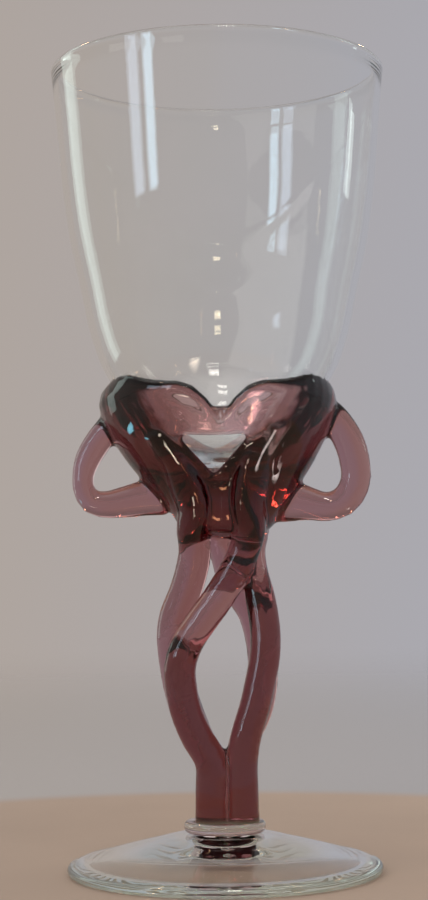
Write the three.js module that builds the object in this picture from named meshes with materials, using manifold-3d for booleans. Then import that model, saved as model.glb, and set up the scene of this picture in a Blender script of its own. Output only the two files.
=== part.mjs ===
// Water goblet: a clear blown bowl in an amethyst calyx, on a stem of four entwined rods.
// Millimetres, +Z up, the front of the goblet faces -Y, and the origin is the centre of the
// foot's underside. Left and right are as seen from the front.

import * as THREE from "three";
import { mergeVertices } from "three/addons/utils/BufferGeometryUtils.js";
import Module from "manifold-3d";

const wasm = await Module();
wasm.setup();

// Driving dimensions of the whole goblet
const seamGap = 0.3; // clearance where two pieces of glass meet
const overrun = 4; // how far a cut runs past the glass it opens

// Foot
const footRadius = 38.9;
const footEdge = 2.6; // thickness at the rounded edge
const footCrown = 9.6; // height of the dome under the collar ring
const footRestWidth = 2.2; // width of the flat ring that the goblet stands on
const footHollow = 5.8; // depth of the hollow inside that ring, which follows the dome
const footTopShares = [
  [0.968, 0.28],
  [0.91, 0.37],
  [0.83, 0.45],
  [0.63, 0.66],
  [0.46, 0.83],
  [0.34, 0.945],
  [0.22, 0.99],
  [0, 1],
];

// Rods of the stem
const rodRadius = 3.7;
const stemHeight = 69.4; // from the collar ring's seat to the calyx
const bundleHeight = 14.5; // how far up the four rods stand side by side
const bundleAside = 0.6; // how far to the right of the axis they stand
const stemReach = 12.5; // from the axis to a rod's centre at the widest bulge
const stemDepth = 4.9; // from the axis to the two rods that cross, front and back
const ribHalfWidth = 4.5; // a rod spreads to this on the calyx
const ribHalfDepth = 2.4;
const ribProud = 1.6; // how far a rib's back would stand out if it lay on the calyx
const ribEndWidthShare = 0.62;
const ribEndDepthShare = 0.45;

// Collar ring between foot and stem
const collarWidth = 1; // from the rods to the ring's outer edge
const collarHeight = 2.7; // under the rods

// Bowl
const rimRadius = 41.8;
const bowlHeight = 101.7;
const bowlWall = 1.9;
const bowlRimWall = 1.5;
const bowlFloor = 3.4;
const bowlFloorShare = 0.6; // of rimRadius, where the thick floor has thinned to the wall
const bowlOutlineShares = [
  [0, 0],
  [0.144, 0.0075],
  [0.263, 0.0265],
  [0.36, 0.052],
  [0.44, 0.083],
  [0.515, 0.125],
  [0.6, 0.184],
  [0.667, 0.232],
  [0.72, 0.275],
  [0.778, 0.351],
  [0.828, 0.451],
  [0.893, 0.577],
  [0.938, 0.715],
  [0.971, 0.872],
  [1, 1],
];

// Calyx: outer outlines at the sides and at the front and back, from its bottom upwards
const calyxHeight = 40.6;
const calyxFloor = 16; // glass under the bowl
const padProudLeft = 1.9; // how far the calyx reaches out past the bowl's side at its lip
const padProudRight = 0.5;
const calyxFrontProud = 2.1;
const lipRound = 2.8; // height over which the lip rounds over onto the bowl
const padLeftShares = [
  [0, 0],
  [0.14, 0.003],
  [0.26, 0.02],
  [0.332, 0.059],
  [0.401, 0.145],
  [0.487, 0.2315],
  [0.615, 0.33],
  [0.727, 0.426],
  [0.829, 0.532],
  [0.908, 0.628],
  [0.96, 0.712],
  [0.993, 0.786],
  [1, 0.83],
  [0.98, 0.879],
  [0.934, 0.929],
  [0.88, 1],
];
const padRightShares = [
  [0, 0],
  [0.16, 0.003],
  [0.34, 0.018],
  [0.43, 0.06],
  [0.49, 0.132],
  [0.572, 0.205],
  [0.679, 0.33],
  [0.772, 0.426],
  [0.852, 0.532],
  [0.92, 0.628],
  [0.962, 0.712],
  [0.99, 0.775],
  [1, 0.82],
  [0.985, 0.874],
  [0.955, 0.929],
  [0.907, 1],
];
const calyxFrontShares = [
  [0, 0],
  [0.12, 0.004],
  [0.2, 0.017],
  [0.27, 0.054],
  [0.305, 0.116],
  [0.333, 0.189],
  [0.373, 0.29],
  [0.42, 0.362],
  [0.49, 0.436],
  [0.58, 0.51],
  [0.673, 0.584],
  [0.752, 0.657],
  [0.833, 0.756],
  [0.918, 0.854],
  [0.975, 0.94],
  [1, 1],
];
// Height of the lip, as a share of calyxHeight, over a quarter turn from the front, or from the
// back, to a side
const lipFrontShares = [
  [0, 0.695],
  [0.04, 0.745],
  [0.095, 0.82],
  [0.16, 0.875],
  [0.24, 0.91],
  [0.33, 0.914],
  [0.45, 0.935],
  [0.6, 0.975],
  [0.7, 0.99],
  [0.85, 0.965],
  [1, 0.935],
];
const lipBackShares = [
  [0, 0.73],
  [0.11, 0.77],
  [0.22, 0.81],
  [0.42, 0.89],
  [0.6, 0.955],
  [0.7, 0.985],
  [0.85, 0.965],
  [1, 0.935],
];

// Window in the calyx, front and back, through which the bowl shows
const windowWidth = 16.8;
const windowHeight = 10.3;
const windowAside = 1.7; // how far its middle stands to the left
const windowDrop = 3.7; // from the notch of the front lip down to its top edge
const windowRound = 1.4;
const windowCore = 7; // glass left round the axis behind it

// Loops: ear-like rods on the left and right of the calyx, which broaden below where they join it.
// routeShares: centre points as shares of its widest reach from the axis and of its height above
// the calyx's bottom. girthShares: share of the length, and half width there as a share of
// loopHalfWidth.
const loopHalfDepth = 3.1;
const loopHalfWidth = 3.1;
const loopProudLeft = 4.2; // from the calyx's widest point to the loop's centre line at its widest
const loopProudRight = 4.6;
const loopDrop = 10.6; // from the top of the calyx down to where the left loop leaves it
const loops = {
  loop_left: {
    side: -1,
    proud: loopProudLeft,
    routeShares: [
      [0.665, 1.07],
      [0.749, 0.993],
      [0.85, 0.86],
      [0.931, 0.727],
      [0.98, 0.61],
      [1, 0.493],
      [0.988, 0.387],
      [0.931, 0.303],
      [0.824, 0.28],
      [0.694, 0.3],
      [0.549, 0.33],
      [0.405, 0.337],
    ],
    girthShares: [
      [0, 0.95],
      [0.2, 1],
      [0.3, 0.98],
      [0.385, 0.88],
      [0.46, 0.76],
      [0.53, 0.79],
      [0.6, 0.9],
      [0.68, 1],
      [0.78, 1.18],
      [0.89, 1.35],
      [1, 1.4],
    ],
  },
  loop_right: {
    side: 1,
    proud: loopProudRight,
    routeShares: [
      [0.69, 1.01],
      [0.765, 1.055],
      [0.842, 0.987],
      [0.923, 0.853],
      [0.972, 0.727],
      [0.998, 0.587],
      [1, 0.46],
      [0.952, 0.337],
      [0.872, 0.263],
      [0.768, 0.243],
      [0.655, 0.267],
      [0.545, 0.29],
      [0.32, 0.3],
    ],
    girthShares: [
      [0, 1.05],
      [0.165, 1.1],
      [0.265, 1.16],
      [0.445, 1.13],
      [0.6, 1.12],
      [0.685, 1.08],
      [0.76, 1.22],
      [0.84, 1.5],
      [0.92, 1.68],
      [1, 1.7],
    ],
  },
};

// The rods' routes above the bundle. freeShares: centre points as shares of stemReach, stemDepth
// and stemHeight. ribShares: turn away from the front or back as a share of a quarter turn, and
// height as a share of calyxHeight.
const rods = {
  strand_front: {
    corner: [-1, -1],
    girthShare: 1,
    freeShares: [
      [-0.52, -0.79, 0.291],
      [-0.736, -0.81, 0.383],
      [-0.832, -0.83, 0.467],
      [-0.848, -0.86, 0.55],
      [-0.688, -0.91, 0.63],
      [-0.416, -0.96, 0.703],
      [-0.12, -1, 0.774],
      [0.248, -1, 0.88],
      [0.42, -1, 0.945],
    ],
    side: 1,
    face: -1,
    ribShares: [
      [0.53, 0.05],
      [0.39, 0.21],
      [0.355, 0.405],
      [0.34, 0.53],
      [0.38, 0.655],
    ],
  },
  strand_back: {
    corner: [1, 1],
    girthShare: 0.95,
    freeShares: [
      [0.416, 0.79, 0.284],
      [0.64, 0.8, 0.362],
      [0.76, 0.82, 0.441],
      [0.792, 0.85, 0.555],
      [0.744, 0.88, 0.635],
      [0.616, 0.94, 0.723],
      [0.36, 1, 0.798],
      [0.16, 1.03, 0.87],
      [0.04, 1.07, 0.947],
    ],
    side: -1,
    face: 1,
    ribShares: [
      [0.27, 0.06],
      [0.4, 0.19],
      [0.42, 0.36],
      [0.42, 0.5],
      [0.445, 0.64],
    ],
  },
  strand_left: {
    corner: [-1, 1],
    girthShare: 1.04,
    freeShares: [
      [-0.472, 0.79, 0.261],
      [-0.704, 0.79, 0.362],
      [-0.864, 0.78, 0.457],
      [-0.968, 0.74, 0.571],
      [-1, 0.66, 0.646],
      [-0.95, 0.52, 0.715],
      [-0.744, 0.3, 0.803],
      [-0.608, 0, 0.88],
      [-0.536, -0.3, 0.952],
    ],
    side: -1,
    face: -1,
    ribShares: [
      [0.62, 0.06],
      [0.445, 0.185],
      [0.445, 0.35],
      [0.445, 0.49],
      [0.49, 0.61],
    ],
  },
  strand_right: {
    corner: [1, -1],
    girthShare: 0.96,
    freeShares: [
      [0.448, -0.78, 0.308],
      [0.616, -0.77, 0.402],
      [0.72, -0.76, 0.483],
      [0.816, -0.74, 0.569],
      [0.84, -0.66, 0.644],
      [0.8, -0.48, 0.725],
      [0.712, -0.25, 0.805],
      [0.61, 0.1, 0.873],
      [0.568, 0.45, 0.952],
    ],
    side: 1,
    face: 1,
    ribShares: [
      [0.6, 0.06],
      [0.47, 0.19],
      [0.42, 0.36],
      [0.41, 0.5],
      [0.43, 0.64],
    ],
  },
};

// Facet counts
const roundSides = 44;
const calyxSides = 48;
const calyxRows = 15;
const rowEvenShare = 0.6; // nought crowds the calyx's rows to its bottom, one spaces them evenly
const bowlRows = 16;
const footRows = 8;
const rodSides = 12;
const rodRings = 36;
const loopRings = 20;
const edgeSteps = 5;
const outlineSteps = 120;

// Heights and places that follow from the sizes above
const footRestRing = footRadius - footEdge / 2 - footRestWidth; // inner radius of the flat rest ring
const bundleOffset = rodRadius + seamGap / 2;
const bundleReach = bundleOffset * Math.SQRT2 + rodRadius; // to the outermost point of the rods
const collarBottom = footCrown + seamGap;
const stemBottom = collarBottom + collarHeight + seamGap;
const calyxBottom = stemBottom + stemHeight;
const bowlBottom = calyxBottom + calyxFloor;
const totalHeight = bowlBottom + bowlHeight;
const windowTop = calyxBottom + lipFrontShares[0][1] * calyxHeight - windowDrop;
const loopRise = calyxHeight - loopDrop;

// A smooth outline in the XZ plane through a table of shares, as evenly spaced points.
function outline(shares, width, height, base = 0, steps = outlineSteps) {
  const knots = shares.map(([across, up]) => new THREE.Vector3(across * width, 0, base + up * height));
  return new THREE.CatmullRomCurve3(knots, false, "centripetal").getSpacedPoints(steps);
}

// Reads one coordinate of an outline where another has the value at, straight between points.
function readOff(points, key, at, wanted) {
  const next = Math.max(1, points.findIndex((point) => point[key] >= at));
  const end = at > points[points.length - 1][key] ? points.length - 1 : next;
  const low = points[end - 1];
  const high = points[end];
  const share = THREE.MathUtils.clamp((at - low[key]) / (high[key] - low[key]), 0, 1);
  return THREE.MathUtils.lerp(low[wanted], high[wanted], share);
}

const bowlOutline = outline(bowlOutlineShares, rimRadius, bowlHeight, bowlBottom);
const bowlPoints = outline(bowlOutlineShares, rimRadius, bowlHeight, bowlBottom, bowlRows);
const bowlAtLip = readOff(bowlOutline, "z", calyxBottom + calyxHeight, "x");
const padReachLeft = bowlAtLip + padProudLeft;
const padReachRight = bowlAtLip + padProudRight;
const padLeft = outline(padLeftShares, padReachLeft, calyxHeight, calyxBottom);
const padRight = outline(padRightShares, padReachRight, calyxHeight, calyxBottom);
const frontOutline = outline(calyxFrontShares, bowlAtLip + calyxFrontProud, calyxHeight, calyxBottom);
const lipFront = outline(lipFrontShares, Math.PI / 2, calyxHeight, calyxBottom);
const lipBack = outline(lipBackShares, Math.PI / 2, calyxHeight, calyxBottom);

// Closes rings of points, in order from a first pole to a last, into one surface.
function closedSurface(firstPole, rings, lastPole) {
  const sides = rings[0].length;
  const points = [firstPole, ...rings.flat(), lastPole];
  const index = [];
  const at = (ring, side) => 1 + ring * sides + (side % sides);
  for (let side = 0; side < sides; side++) {
    index.push(0, at(0, side + 1), at(0, side));
    for (let ring = 0; ring + 1 < rings.length; ring++) {
      index.push(at(ring, side), at(ring, side + 1), at(ring + 1, side + 1));
      index.push(at(ring, side), at(ring + 1, side + 1), at(ring + 1, side));
    }
    index.push(points.length - 1, at(rings.length - 1, side), at(rings.length - 1, side + 1));
  }
  return new THREE.BufferGeometry().setFromPoints(points).setIndex(index);
}

// Turns a closed profile of [radius, height] points about the Z axis.
function turned(profile) {
  const points = profile.map(([radius, height]) => new THREE.Vector2(radius, height));
  return new THREE.LatheGeometry(points, roundSides).rotateX(Math.PI / 2);
}

// A solid for cutting and joining, from a closed geometry.
function toSolid(geometry) {
  const bare = new THREE.BufferGeometry().setAttribute("position", geometry.getAttribute("position"));
  bare.setIndex(geometry.index);
  const merged = mergeVertices(bare);
  const vertProperties = new Float32Array(merged.attributes.position.array);
  const triVerts = new Uint32Array(merged.index.array);
  return new wasm.Manifold(new wasm.Mesh({ numProp: 3, vertProperties, triVerts }));
}

function toGeometry(solid) {
  const mesh = solid.getMesh();
  const geometry = new THREE.BufferGeometry();
  geometry.setAttribute("position", new THREE.BufferAttribute(new Float32Array(mesh.vertProperties), 3));
  geometry.setIndex(new THREE.BufferAttribute(new Uint32Array(mesh.triVerts), 1));
  geometry.computeVertexNormals();
  return geometry;
}

// A rod of elliptical section along a curve. girth gives the half width and half depth at a share
// of its length; the depth points away from the goblet's axis, or along sideways when that is given.
function rod(curve, rings, girth, grow = 0, sideways = null) {
  const sections = [];
  const tip = (share, along) => curve.getPointAt(share).addScaledVector(curve.getTangentAt(share), along);
  for (let ring = 0; ring <= rings; ring++) {
    const share = ring / rings;
    const centre = curve.getPointAt(share);
    const ahead = curve.getTangentAt(share);
    const out = sideways ? sideways.clone() : new THREE.Vector3(centre.x, centre.y, 0);
    out.addScaledVector(ahead, -out.dot(ahead)).normalize();
    const across = new THREE.Vector3().crossVectors(ahead, out);
    const [halfWidth, halfDepth] = girth(share);
    const section = [];
    for (let side = 0; side < rodSides; side++) {
      const turn = (2 * Math.PI * side) / rodSides;
      const point = centre.clone();
      point.addScaledVector(out, (halfDepth + grow) * Math.cos(turn));
      point.addScaledVector(across, (halfWidth + grow) * Math.sin(turn));
      section.push(point);
    }
    sections.push(section);
  }
  return closedSurface(tip(0, -grow), sections, tip(1, grow));
}

// The calyx's outer radius at a height, in a direction given by its angle from the +X axis.
function calyxRadius(height, angle) {
  const sideShare = Math.cos(angle) ** 2;
  const side = readOff(Math.cos(angle) < 0 ? padLeft : padRight, "z", height, "x");
  const front = readOff(frontOutline, "z", height, "x");
  return THREE.MathUtils.lerp(front, side, sideShare);
}

// Angle from the front or back, whichever is nearer, to a direction: nought to a quarter turn.
function turnFromFront(angle) {
  return Math.asin(Math.min(1, Math.abs(Math.cos(angle))));
}

// The calyx with its hollow still filled, up to the wavy lip, all grown outwards by grow.
function calyxBody(grow = 0) {
  const rings = [];
  const place = (radius, angle, height) =>
    new THREE.Vector3(radius * Math.cos(angle), radius * Math.sin(angle), height);
  for (let row = 1; row <= calyxRows + edgeSteps; row++) {
    const ring = [];
    for (let side = 0; side < calyxSides; side++) {
      const angle = (2 * Math.PI * side) / calyxSides;
      const lip = readOff(Math.sin(angle) < 0 ? lipFront : lipBack, "x", turnFromFront(angle), "z");
      const shoulder = lip - lipRound;
      const even = Math.min(row, calyxRows) / calyxRows;
      const eased = 1 - Math.cos((Math.PI / 2) * even);
      const climbShare = THREE.MathUtils.lerp(eased, even, rowEvenShare);
      const low = THREE.MathUtils.lerp(calyxBottom, shoulder, climbShare);
      const roll = ((Math.PI / 2) * Math.max(0, row - calyxRows)) / edgeSteps;
      const height = row <= calyxRows ? low : shoulder + lipRound * Math.sin(roll);
      const outer = calyxRadius(height, angle) + grow;
      const seat = readOff(bowlOutline, "z", height, "x");
      const radius = row <= calyxRows ? outer : THREE.MathUtils.lerp(seat, outer, Math.cos(roll));
      ring.push(place(radius, angle, height + (row > calyxRows ? grow : 0)));
    }
    rings.push(ring);
  }
  const bottom = new THREE.Vector3(0, 0, calyxBottom - grow);
  const top = new THREE.Vector3(0, 0, calyxBottom + calyxHeight / 2);
  return closedSurface(bottom, rings, top);
}

// The bowl's outline points, each with the direction in which the outline climbs there.
function bowlSlopes() {
  return bowlPoints.map((point, step) => {
    const before = bowlPoints[Math.max(0, step - 1)];
    const after = bowlPoints[Math.min(bowlRows, step + 1)];
    return { point, slope: new THREE.Vector2(after.x - before.x, after.z - before.z).normalize() };
  });
}

// The bowl's outside as a filled form, grown outwards by grow.
function bowlBody(grow) {
  const profile = [[0, bowlBottom - grow]];
  for (const { point, slope } of bowlSlopes().slice(1)) {
    profile.push([point.x + slope.y * grow, point.z - slope.x * grow]);
  }
  profile.push([0, totalHeight]);
  return turned(profile);
}

// The route of one rod: up the bundle, along its free stretch, and onto the calyx as a rib.
function rodCurve({ corner, freeShares, side, face, ribShares }) {
  const points = [0, 0.5, 1].map(
    (share) =>
      new THREE.Vector3(
        bundleAside + corner[0] * bundleOffset,
        corner[1] * bundleOffset,
        stemBottom + share * bundleHeight,
      ),
  );
  for (const [across, deep, up] of freeShares) {
    points.push(new THREE.Vector3(across * stemReach, deep * stemDepth, stemBottom + up * stemHeight));
  }
  for (const [turnShare, up] of ribShares) {
    const height = calyxBottom + up * calyxHeight;
    const turn = (turnShare * Math.PI) / 2;
    const angle = Math.atan2(face * Math.cos(turn), side * Math.sin(turn));
    const radius = calyxRadius(height, angle) - ribHalfDepth + ribProud;
    points.push(new THREE.Vector3(radius * Math.cos(angle), radius * Math.sin(angle), height));
  }
  return new THREE.CatmullRomCurve3(points, false, "centripetal");
}

// A rod is round in the stem, spreads where it lies on the calyx and thins out at its end.
function rodGeometry(route, grow = 0) {
  const curve = rodCurve(route);
  const radius = rodRadius * route.girthShare;
  const ribLength = calyxHeight * route.ribShares[route.ribShares.length - 1][1];
  const girth = (share) => {
    const height = curve.getPointAt(share).z;
    const foot = THREE.MathUtils.smoothstep(height, stemBottom, stemBottom + bundleHeight);
    const spread = THREE.MathUtils.smoothstep(height, calyxBottom, calyxBottom + ribLength / 2);
    const ending = THREE.MathUtils.smoothstep(height, calyxBottom + ribLength / 2, calyxBottom + ribLength);
    const stem = THREE.MathUtils.lerp(rodRadius, radius, foot);
    const width = THREE.MathUtils.lerp(stem, ribHalfWidth, spread);
    const depth = THREE.MathUtils.lerp(stem, ribHalfDepth, spread);
    return [
      width * THREE.MathUtils.lerp(1, ribEndWidthShare, ending),
      depth * THREE.MathUtils.lerp(1, ribEndDepthShare, ending),
    ];
  };
  return rod(curve, rodRings, girth, grow);
}

// A loop: a rod in the XZ plane from the calyx's shoulder out, down and back in to its bottom.
function loopGeometry({ side, proud, routeShares, girthShares }) {
  const reach = (side < 0 ? padReachLeft : padReachRight) + proud;
  const knots = routeShares.map(
    ([across, up]) => new THREE.Vector3(side * across * reach, 0, calyxBottom + up * loopRise),
  );
  const curve = new THREE.CatmullRomCurve3(knots, false, "centripetal");
  const widths = outline(girthShares, 1, loopHalfWidth);
  const girth = (share) => [readOff(widths, "x", share, "z"), loopHalfDepth];
  return rod(curve, loopRings, girth, 0, new THREE.Vector3(0, 1, 0));
}

// The rounded triangular window, as a cutter on one face of the calyx: -1 front, 1 back.
function windowCutter(face) {
  const half = windowWidth / 2;
  const top = windowTop;
  const shape = new THREE.Shape();
  shape.moveTo(-half + windowRound, top);
  shape.quadraticCurveTo(0, top - windowRound / 2, half - windowRound, top);
  shape.quadraticCurveTo(half, top, half - windowRound / 2, top - windowRound);
  shape.lineTo(windowRound / 2, top - windowHeight + windowRound);
  shape.quadraticCurveTo(0, top - windowHeight, -windowRound / 2, top - windowHeight + windowRound);
  shape.lineTo(-half + windowRound / 2, top - windowRound);
  shape.quadraticCurveTo(-half, top, -half + windowRound, top);
  const length = calyxRadius(top, Math.PI / 2) + overrun - windowCore;
  const settings = { depth: length, bevelEnabled: false, curveSegments: edgeSteps };
  const cutter = new THREE.ExtrudeGeometry(shape, settings);
  cutter.rotateX(Math.PI / 2);
  cutter.translate(-windowAside, face * windowCore + (face < 0 ? 0 : length), 0);
  return cutter;
}

// Everything on one side of the seam plane: -1 left, 1 right.
function halfSpace(side) {
  const size = 2 * totalHeight;
  const block = new THREE.BoxGeometry(size, size, size);
  return block.translate(side * (size / 2 + seamGap / 2), 0, 0);
}

// Bowl: a blown wall that thickens to the floor, with a rounded lip.
function bowlGeometry() {
  const inner = bowlSlopes().map(({ point, slope }) => {
    const up = (point.z - bowlBottom) / bowlHeight;
    const wall = THREE.MathUtils.lerp(bowlWall, bowlRimWall, up);
    const thinned = THREE.MathUtils.smoothstep(point.x / rimRadius, 0, bowlFloorShare);
    const glass = THREE.MathUtils.lerp(bowlFloor, wall, thinned);
    return [Math.max(0, point.x - slope.y * glass), point.z + slope.x * glass];
  });
  const lip = bowlRimWall / 2;
  const profile = bowlPoints.slice(0, -1).map((point) => [point.x, point.z]);
  for (let step = 0; step <= edgeSteps; step++) {
    const turn = (Math.PI * step) / edgeSteps;
    profile.push([rimRadius - lip + lip * Math.cos(turn), totalHeight - lip + lip * Math.sin(turn)]);
  }
  profile.push(...inner.slice(1, -1).reverse());
  profile.push([0, bowlBottom + bowlFloor]);
  return turned(profile);
}

// Foot: flat on its rest ring, hollowed in an even curve inside it, domed above.
function footGeometry() {
  const half = footEdge / 2;
  const profile = [];
  for (let step = 0; step <= edgeSteps; step++) {
    const out = step / edgeSteps;
    profile.push([out * footRestRing, footHollow * (1 - out ** 2)]);
  }
  profile.push(...roundedEdge(footRadius - half, half, half, half));
  for (const point of outline(footTopShares, footRadius, footCrown, 0, footRows)) {
    profile.push([point.x, point.z]);
  }
  return turned(profile);
}

// Half a turn of an ellipse about [radius, height], from its lowest point out and up to its highest.
function roundedEdge(radius, height, halfWidth, halfHeight) {
  const points = [];
  for (let step = 0; step <= edgeSteps; step++) {
    const turn = Math.PI * (step / edgeSteps - 1 / 2);
    points.push([radius + halfWidth * Math.cos(turn), height + halfHeight * Math.sin(turn)]);
  }
  return points;
}

// Collar ring: a disc with a rounded edge, on which the rods stand.
function collarGeometry() {
  const half = collarHeight / 2;
  const edge = roundedEdge(bundleReach, collarBottom + half, collarWidth, half);
  return turned([[0, collarBottom], ...edge, [0, collarBottom + collarHeight]]);
}

const clearGlass = () => new THREE.MeshStandardMaterial({ color: 0xdde6e2, roughness: 0.05, metalness: 0 });
const amethystGlass = () => new THREE.MeshStandardMaterial({ color: 0x6e3a4c, roughness: 0.06, metalness: 0 });

const goblet = new THREE.Group();

function addPiece(name, geometry, material) {
  const mesh = new THREE.Mesh(geometry, material);
  mesh.name = name;
  goblet.add(mesh);
}

// Clear pieces
addPiece("foot", footGeometry(), clearGlass());
addPiece("merese", collarGeometry(), clearGlass());
addPiece("bowl", bowlGeometry(), clearGlass());

// Rods: each is cut back from the ones before it, where they would touch
const bowlRoom = toSolid(bowlBody(seamGap));
const rodRooms = [];
for (const [name, route] of Object.entries(rods)) {
  let strand = toSolid(rodGeometry(route)).subtract(bowlRoom);
  for (const room of rodRooms) strand = strand.subtract(room);
  rodRooms.push(toSolid(rodGeometry(route, seamGap)));
  addPiece(name, toGeometry(strand), amethystGlass());
}

// Calyx halves: hollowed for the bowl, grooved for the ribs, open at the windows
let calyx = toSolid(calyxBody()).subtract(bowlRoom);
for (const face of [-1, 1]) calyx = calyx.subtract(toSolid(windowCutter(face)));
for (const room of rodRooms) calyx = calyx.subtract(room);
addPiece("calyx_left", toGeometry(calyx.intersect(toSolid(halfSpace(-1)))), amethystGlass());
addPiece("calyx_right", toGeometry(calyx.intersect(toSolid(halfSpace(1)))), amethystGlass());

// Loops: seated on the outside of the calyx
const calyxRoom = toSolid(calyxBody(seamGap));
for (const [name, shape] of Object.entries(loops)) {
  let loop = toSolid(loopGeometry(shape)).subtract(calyxRoom).subtract(bowlRoom);
  for (const room of rodRooms) loop = loop.subtract(room);
  addPiece(name, toGeometry(loop), amethystGlass());
}

export default goblet;
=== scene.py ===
import math
from typing import NamedTuple

import bpy
from bpy.props import FloatProperty, FloatVectorProperty, IntProperty, PointerProperty
from mathutils import Matrix, Vector


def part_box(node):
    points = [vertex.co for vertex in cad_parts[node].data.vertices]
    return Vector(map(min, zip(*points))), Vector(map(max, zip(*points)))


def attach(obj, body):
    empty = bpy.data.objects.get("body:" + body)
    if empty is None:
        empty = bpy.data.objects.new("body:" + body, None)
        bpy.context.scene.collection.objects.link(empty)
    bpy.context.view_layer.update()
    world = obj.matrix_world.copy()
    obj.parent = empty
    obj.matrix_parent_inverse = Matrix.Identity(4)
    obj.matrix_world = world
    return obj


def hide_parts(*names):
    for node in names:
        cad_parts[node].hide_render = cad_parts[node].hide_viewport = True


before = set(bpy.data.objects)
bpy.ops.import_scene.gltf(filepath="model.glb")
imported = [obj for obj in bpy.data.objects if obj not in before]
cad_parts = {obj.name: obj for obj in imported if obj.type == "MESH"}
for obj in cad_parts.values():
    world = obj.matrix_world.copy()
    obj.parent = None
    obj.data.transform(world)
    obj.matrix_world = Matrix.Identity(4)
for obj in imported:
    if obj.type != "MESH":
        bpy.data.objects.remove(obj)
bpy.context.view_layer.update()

bl_info = {
    "name": "Water goblet",
    "version": (1, 0, 0),
    "blender": (4, 5, 0),
    "location": "3D View > Sidebar > Goblet",
    "description": "Builds a blown goblet in an amethyst calyx on a stem of entwined rods",
    "category": "Object",
}

MM = 0.001
FAR = 200 * MM  # past the goblet on every side

BOWL_LOW, BOWL_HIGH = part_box("bowl")
RING_LOW, RING_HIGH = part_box("merese")
FOOT_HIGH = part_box("foot")[1]

RODS = ("strand_front", "strand_back", "strand_left", "strand_right")
LOOPS = ("loop_left", "loop_right")
CALYX = ("calyx_left", "calyx_right")

# Small sizes of the glass
ROD_RADIUS = 3.7 * MM
ROOT_HEIGHT = 8 * MM  # a rod runs on into the ring, so that melting leaves its end square
ROOT_DROP = 1.5 * MM  # from the ring's top down to the root's middle
SEAM_HALF = 0.15 * MM  # half the clearance between two CAD pieces
MERGE_REACH = 0.002 * MM  # corners of a CAD copy that lie this near are one
SEAT_SLAB = 2 * MM  # slice of the rods that marks their seat on the ring
RING_EDGE = 1 * MM  # how far the ring's rounded edge stands out
NECK_FLARE = 0.3 * MM  # the foot widens by this just under the ring
NECK_DROP = 0.12 * MM  # and that far below it
OUTSIDE_CLEAR = 0.2 * MM  # the outer wall stops this far under the bead of the rim
INSIDE_CLEAR = 0.9 * MM  # and the inner wall this far
NOTCH_REACH = 0.6 * MM  # the notch is the calyx's highest point this near to the middle
NOTCH_OUT = 0.6 * MM  # the bead's middle stands this far in front of it
NOTCH_UP = 1.3 * MM  # and this far above it
NOTCH_BEAD = (3.2, 1.3, 1.4)  # half sizes of the bead in millimetres

# Fineness of the meshes
KNOT_STEPS = 16  # from one given point of an outline to the next
LIP_STEPS = 10
EDGE_STEPS = 12
HOLLOW_STEPS = 14
DOME_STEPS = 26
TURNED_ANGLE = math.radians(40)  # a turned form is shaded smooth up to this
SKIN_ANGLE = math.radians(50)

# Outlines as shares of the radius and of the height, from the axis outwards.
BOWL_SHARES = (
    (0, 0),
    (0.144, 0.0075),
    (0.263, 0.0265),
    (0.36, 0.052),
    (0.44, 0.083),
    (0.515, 0.125),
    (0.6, 0.184),
    (0.667, 0.232),
    (0.72, 0.275),
    (0.778, 0.351),
    (0.828, 0.451),
    (0.893, 0.577),
    (0.938, 0.715),
    (0.971, 0.872),
    (1, 1),
)
FOOT_SHARES = (
    (0.968, 0.28),
    (0.91, 0.37),
    (0.83, 0.45),
    (0.63, 0.66),
    (0.46, 0.83),
    (0.34, 0.945),
    (0.22, 0.99),
)


class BowlSizes(bpy.types.PropertyGroup):
    rim_radius: FloatProperty(
        name="Rim radius", description="Outer radius at the rim", default=BOWL_HIGH.x, unit="LENGTH"
    )
    height: FloatProperty(
        name="Height",
        description="From the bowl's lowest point to its rim",
        default=BOWL_HIGH.z - BOWL_LOW.z,
        unit="LENGTH",
    )
    wall: FloatProperty(
        name="Wall",
        description="Glass above the floor",
        default=1.9 * MM,
        unit="LENGTH",
    )
    lip: FloatProperty(
        name="Lip",
        description="Glass in the rounded bead of the rim",
        default=2.1 * MM,
        unit="LENGTH",
    )
    top_wall: FloatProperty(
        name="Top wall", description="Glass just under the rim", default=1.5 * MM, unit="LENGTH"
    )
    floor: FloatProperty(
        name="Floor",
        description="Glass on the axis",
        default=3.4 * MM,
        unit="LENGTH",
    )
    floor_reach: FloatProperty(
        name="Floor reach",
        description="Share of the rim radius where the floor has thinned to the wall",
        default=0.6,
    )
    rows: IntProperty(name="Rows", description="Rings of faces from the floor to the rim", default=64)
    sides: IntProperty(name="Sides", description="Faces round the bowl", default=160)


class FootSizes(bpy.types.PropertyGroup):
    radius: FloatProperty(
        name="Radius",
        description="Radius of the foot",
        default=FOOT_HIGH.x,
        unit="LENGTH",
    )
    crown: FloatProperty(
        name="Crown",
        description="Height of the dome",
        default=FOOT_HIGH.z,
        unit="LENGTH",
    )
    edge: FloatProperty(
        name="Edge",
        description="Thickness at the edge",
        default=2.6 * MM,
        unit="LENGTH",
    )
    rest: FloatProperty(
        name="Rest ring",
        description="Inner radius of the ring it stands on",
        default=35.4 * MM,
        unit="LENGTH",
    )
    hollow: FloatProperty(
        name="Hollow", description="Depth of the hollow underneath", default=5.8 * MM, unit="LENGTH"
    )
    seat: FloatProperty(
        name="Seat",
        description="Radius over which the ring is fused to the foot",
        default=7.6 * MM,
        unit="LENGTH",
    )
    sides: IntProperty(name="Sides", description="Faces round the foot", default=160)
    ring_sides: IntProperty(name="Ring sides", description="Faces round the collar ring", default=96)


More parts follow.
